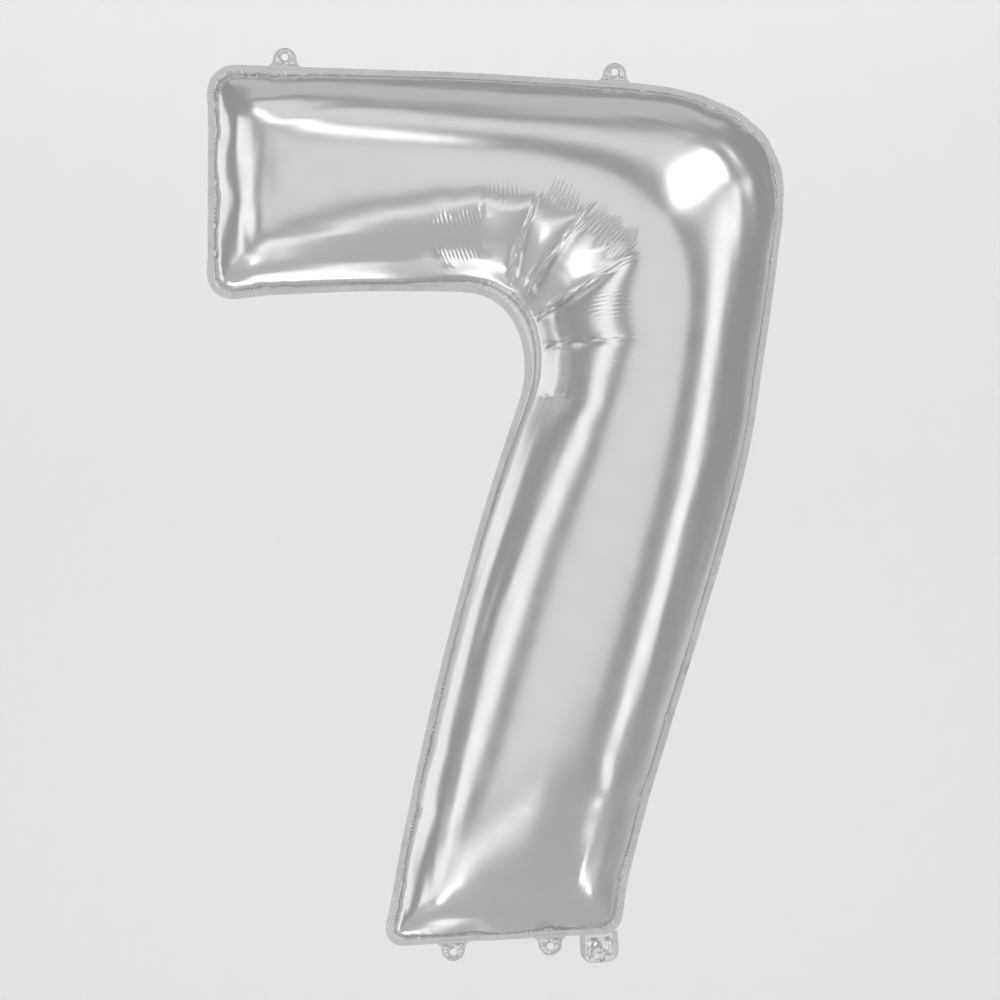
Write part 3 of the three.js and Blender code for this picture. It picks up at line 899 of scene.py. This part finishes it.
def tab(name, joint, body, seed):
    """A hanging tab: two plies welded at the rim, round the hole and at the root, and crumpled in between."""
    rng = np.random.default_rng(seed)
    root = Root(joint, body, body)
    outline = tab_outline(root, 3.6)
    hole_at, hole_radius = np.array((0, root.low + 8.0)), 3.5
    turn = np.linspace(0, 2 * math.pi, 33)[:-1]
    ragged = hole_radius + 0.15 * np.sin(3 * turn + seed)
    hole = hole_at + ragged[:, None] * np.stack([np.cos(turn), np.sin(turn)], 1)
    cut = cut_sheet(outline, [hole], 0.62, rng)
    flat = cut[0]
    rim = nearest_on_ring(flat, outline)[0]
    eye = away_from(hole_at, flat) - hole_radius
    loose = smooth_step((rim - 1.6) / 1.6) * smooth_step((eye - 0.9) / 1.4) * smooth_step((flat[:, 1] + 0.5) / 3)
    free = smooth_step(flat[:, 1] / 5)
    bend = free * (0.9 * crumple(rng, flat, 14, 30, 6) + 0.25 * crumple(rng, flat, 5, 9, 8))
    gap = 0.2 + loose * (0.75 + 0.5 * crumple(rng, flat, 4, 10))
    gap = np.maximum(gap, 0.16)
    gap += 0.07 * smooth_step(1 - np.abs(rim - 1.7) / 0.5) * free
    lean = loose * 0.5 * crumple(rng, flat, 3, 8)
    return thin_body(name, body, root, cut, bend + lean - gap, bend + lean + gap, loose < 0.4, 2.2)


def neck_outline(root, tuck):
    """The filling neck, straight at the sides and round at the corners of its end, in its own plane."""
    half, round_end = root.half, 11.0
    turn = np.linspace(0, math.pi / 2, 12)
    right = (half - round_end, root.high - round_end) + round_end * np.stack([np.cos(turn), np.sin(turn)], 1)
    left = right[::-1] * (-1, 1)
    steps = 34
    base = np.stack([np.linspace(-half, half, steps), np.full(steps, -tuck)], 1)
    rise = np.linspace(-tuck, right[0, 1], 22)[1:-1]
    up_left = np.stack([np.full(20, -half), rise[::-1]], 1)
    up_right = np.stack([np.full(20, half), rise], 1)
    top = np.stack([np.linspace(right[-1, 0], left[0, 0], 12)[1:-1], np.full(10, root.high)], 1)
    return np.vstack([right, top, left, up_left, base, up_right])


def filling_neck():
    """The neck: two plies with a puffed, crumpled passage between welded sides, open at its end."""
    rng = np.random.default_rng(21)
    root = Root("neck_fold", "neck_front_ply", "inflation_neck")
    cut = cut_sheet(neck_outline(root, 3.4), [], 0.75, rng)
    flat = cut[0]
    off_axis = np.abs(flat[:, 0])
    passage = smooth_step((root.half - 4.5 - off_axis) / 5)
    free = smooth_step(flat[:, 1] / 6)
    crease = free * (1.3 * crumple(rng, flat, 16, 34, 6) + 0.12 * crumple(rng, flat, 6, 10, 6))
    bend_end, half_ply = 6, 0.07
    made = []
    for side, name in ((-1, "neck_front"), (1, "neck_back")):
        lift = free * passage * np.maximum(1.5 + 1.2 * crumple(rng, flat, 8, 18, 6), 0.1)
        middle = crease + side * (0.62 + lift)
        front, back, pressed = middle - half_ply, middle + half_ply, off_axis > root.half - 5.5
        made.append(thin_body(name + "_foil", name + "_ply", root, cut, front, back, pressed, bend_end))
    for node in ("neck_weld_left", "neck_weld_right"):
        mesh = frame["nodes"][node].data
        place = np.array([v.co for v in mesh.vertices])[:, [0, 2]] / MM - root.at
        u, v = place @ root.along, place @ root.out
        top = v.max() - 6  # the seal stays out of the round corner
        strip = np.array([(u.max(), v.min()), (u.max(), top), (u.min(), top), (u.min(), v.min())])
        edge = np.vstack([
            strip[k] + (strip[(k + 1) % 4] - strip[k]) * t for k in range(4) for t in np.linspace(0, 1, 12)[:-1, None]
        ])
        cut = cut_sheet(edge, [], 0.8, rng)
        place = cut[0]
        bend = crease[np.argmin(((flat[None] - place[:, None]) ** 2).sum(2), 1)]
        half = 0.5 + 0.02 * crumple(rng, place, 2, 4)
        pressed = np.ones(len(place), bool)
        made.append(thin_body(node + "_seal", node, root, cut, bend - half, bend + half, pressed, bend_end))
    return made


def seal_band(flat, triangles, sheet, points, gape, neck):
    """The heat seal between the two plies of the margin, as a thin closed band that stops at the neck."""
    weld = triangles[sheet == WELD]
    middle = (points[0] + points[1]) / 2
    away = away_from(neck[0], middle[:, [0, 2]])
    weld = weld[(away[weld] > neck[1] - 3).all(1)]
    n = len(flat)
    _, number, times = np.unique(corner_edges(weld), axis=0, return_inverse=True, return_counts=True)
    ends = np.stack([weld, np.roll(weld, -1, 1)], 2).transpose(1, 0, 2).reshape(-1, 2)
    rim = ends[times[number.reshape(-1)] == 1]
    half = np.minimum(gape, 0.12) * 0.8
    front, back = middle.copy(), middle.copy()
    front[:, 1] -= half
    back[:, 1] += half
    start, end = rim.T
    walls = [np.stack([end, start, start + n], 1), np.stack([end, start + n, end + n], 1)]
    made = piece("margin_seal", np.vstack([front, back]), [(np.vstack([weld, weld[:, ::-1] + n, *walls]), PRESSED)])
    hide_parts("perimeter_weld")
    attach(made, "envelope")


TABS = {"tab_top_left": 31, "tab_top_right": 32, "tab_foot_left": 33, "tab_foot_middle": 34}  # each one's seed
TAB_HALF, NECK_HALF = 15.0, 17.0  # half the width of their roots


def build():
    """Makes every piece of the balloon that has its own mesh here."""
    flat, triangles, sheet, points, seam = inflated()
    points = settle_seam(flat, triangles, sheet, points, seam)
    points = even_out(flat, triangles, sheet, points, seam)
    points = smooth_walls(flat, triangles, sheet, points, seam)
    for reach in FINER:
        near = (nearest_on_ring(flat, seam)[0] < reach) | elbow_zone(flat)
        outer = np.zeros(len(flat), bool)
        if reach == FINER[1]:
            outer[np.setdiff1d(triangles[sheet == WELD], triangles[sheet == FRONT])] = True

        def wanted(edges, near=near, outer=outer):
            return near[edges].any(1) & ~outer[edges].any(1)

        finer, finer_sheet, split = split_edges(triangles, sheet, wanted)
        points = np.vstack([points, curved_middles(points, triangles, sheet, split)])
        flat = np.vstack([flat, flat[split].mean(1)])
        triangles, sheet = finer, finer_sheet
    neck = fold_line("neck_fold")[0], NECK_HALF
    tabs = [(fold_line(name + "_fold")[0], TAB_HALF) for name in TABS]
    sheets, gape = pucker(flat, triangles, sheet, points, seam, neck, tabs)
    front, back, weld = (triangles[sheet == s] for s in (FRONT, BACK, WELD))
    foil_front = piece("foil_front", sheets[0], [(front, FOIL), (weld, PRESSED)])
    foil_back = piece("foil_back", sheets[1], [(back, FOIL), (weld[:, ::-1], PRESSED)])
    for made, node in ((foil_front, "front_panel"), (foil_back, "back_panel")):
        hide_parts(node)
        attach(made, "envelope")
    seal_band(flat, triangles, sheet, sheets, gape, neck)
    made_tabs = [tab(name + "_foil", name + "_fold", name, seed) for name, seed in TABS.items()]
    necks = filling_neck()
    cut = pattern_outline(3.0)


def elbow_zone(flat):
    """Where the creases and the fine pleats of the elbow need a finer mesh."""
    near = np.zeros(len(flat), bool)
    for start, end, _ in CREASES:
        start, end = np.array(start, float), np.array(end, float)
        run = end - start
        t = np.clip((flat - start) @ run / (run @ run), -0.1, 1.1)
        near |= np.linalg.norm(flat - start - t[:, None] * run, axis=1) < 13
    for centre, _, half_length, half_width, _ in PLEATS:
        near |= away_from(centre, flat) < 1.15 * max(half_length, half_width)
    return near


build()
for node, paint in (
    ("valve_front_film", FILM),
    ("valve_back_film", FILM),
    ("inlet_front_film", FILM),
    ("inlet_back_film", FILM),
    ("valve_weld_left", FILM_WELD),
    ("valve_weld_right", FILM_WELD),
    ("inlet_weld_left", FILM_WELD),
    ("inlet_weld_right", FILM_WELD),
):
    shown = frame["nodes"][node].data.materials
    shown.clear()
    shown.append(paint)


# ---- studio


def sweep(lowest):
    """A pale floor that curves up into the backdrop."""
    front, turn_at, radius, height, half = -3.2, 4.0, 1.2, 5.5, 6.5
    profile = [(front, 0.0), (turn_at, 0.0)]
    profile += [
        (turn_at + radius * math.sin(a), radius - radius * math.cos(a)) for a in np.linspace(0, math.pi / 2, 24)[1:]
    ]
    profile += [(turn_at + radius, height)]
    points = [(x, y, lowest + z) for y, z in profile for x in (-half, half)]
    faces = [(2 * k, 2 * k + 1, 2 * k + 3, 2 * k + 2) for k in range(len(profile) - 1)]
    mesh = bpy.data.meshes.new("studio_sweep")
    mesh.from_pydata(points, [], faces)
    for face in mesh.polygons:
        face.use_smooth = True
    mesh.materials.append(material("paper", (0.84, 0.84, 0.84), 0, 0.75, 0.05, waves=(90, 0.0001), patchy=0.008))
    made = bpy.data.objects.new("studio_sweep", mesh)
    bpy.context.scene.collection.objects.link(made)


def softbox(name, place, aim, width, height, glow, shape="RECTANGLE"):
    """A soft light whose face shines this bright, so that its reflection in the foil does too."""
    light = bpy.data.lights.new(name, "AREA")
    light.shape = shape
    area = width * height * (math.pi / 4 if shape == "ELLIPSE" else 1)
    light.size, light.size_y, light.energy = width, height, glow * math.pi * area
    made = bpy.data.objects.new(name, light)
    made.location = place
    made.rotation_euler = (Vector(aim) - Vector(place)).to_track_quat("-Z", "Y").to_euler()
    bpy.context.scene.collection.objects.link(made)


world = bpy.data.worlds.new("studio")
world.use_nodes = True
world.node_tree.nodes["Background"].inputs["Color"].default_value = (0.35, 0.35, 0.355, 1)
world.node_tree.nodes["Background"].inputs["Strength"].default_value = 1.0
bpy.context.scene.world = world
sweep(cad_bounds[0][2] - 0.75)  # the balloon hangs well above the floor

# name, place, aim, width, height, glow
softbox("fill", (0.0, -6.0, 0.0), (0, 0, -0.4), 8.5, 6.0, 0.46)
softbox("backdrop_top", (0.0, 3.2, 2.0), (0, 5.2, 0.0), 7.0, 1.5, 2.0)
softbox("backdrop_foot", (0.0, 3.4, -1.5), (0, 5.2, -0.7), 7.0, 0.5, 1.6)
softbox("key", (1.33, -1.0, 0.93), (0.2, 0, -0.25), 0.5, 0.5, 4.2, "ELLIPSE")
softbox("left_strip", (-1.9, -1.1, -0.3), (0, 0, -0.4), 0.8, 2.4, 0.85)
softbox("right_strip", (2.1, -0.9, -0.4), (0.1, 0, -0.4), 0.65, 2.4, 0.95)
softbox("overhead", (0, -1.2, 1.9), (0, 0, -0.3), 3.0, 0.8, 0.5)
softbox("ceiling", (0, 0.5, 2.2), (0, 0.4, 0), 3.6, 1.6, 0.25)
softbox("upper_left", (-0.72, -1.3, 1.0), (-0.1, 0, -0.2), 1.0, 0.24, 2.0)
softbox("low_left", (-0.64, -0.86, -1.44), (0, 0, -0.78), 0.3, 0.24, 2.8, "ELLIPSE")
softbox("low_right", (1.02, -0.53, -1.47), (0.13, 0, -0.75), 0.24, 0.16, 3.0, "ELLIPSE")
softbox("low_strip", (-0.5, -1.05, -1.2), (-0.1, 0, -0.2), 1.3, 0.22, 0.72)
softbox("low_back", (-0.36, 0.66, -1.0), (-0.36, 0.66, 0), 0.6, 0.66, 1.0)
softbox("under_arm", (-0.22, 0.45, -1.5), (-0.22, 0.45, 0), 0.34, 0.8, 1.0)
softbox("left_back", (-1.5, 0.9, -0.45), (0, 0, -0.45), 1.0, 1.6, 0.7)

away, view_width = 4.5, 0.946  # the camera's distance, and what it sees across at the balloon
camera = bpy.data.objects.new("camera", bpy.data.cameras.new("camera"))
camera.location = (0.0478, -away, -0.4115)
camera.rotation_euler = (math.pi / 2, 0, 0)
camera.data.sensor_width = 36
camera.data.lens = camera.data.sensor_width * away / view_width
bpy.context.scene.collection.objects.link(camera)
bpy.context.scene.camera = camera
bpy.context.scene.view_settings.view_transform = "Standard"
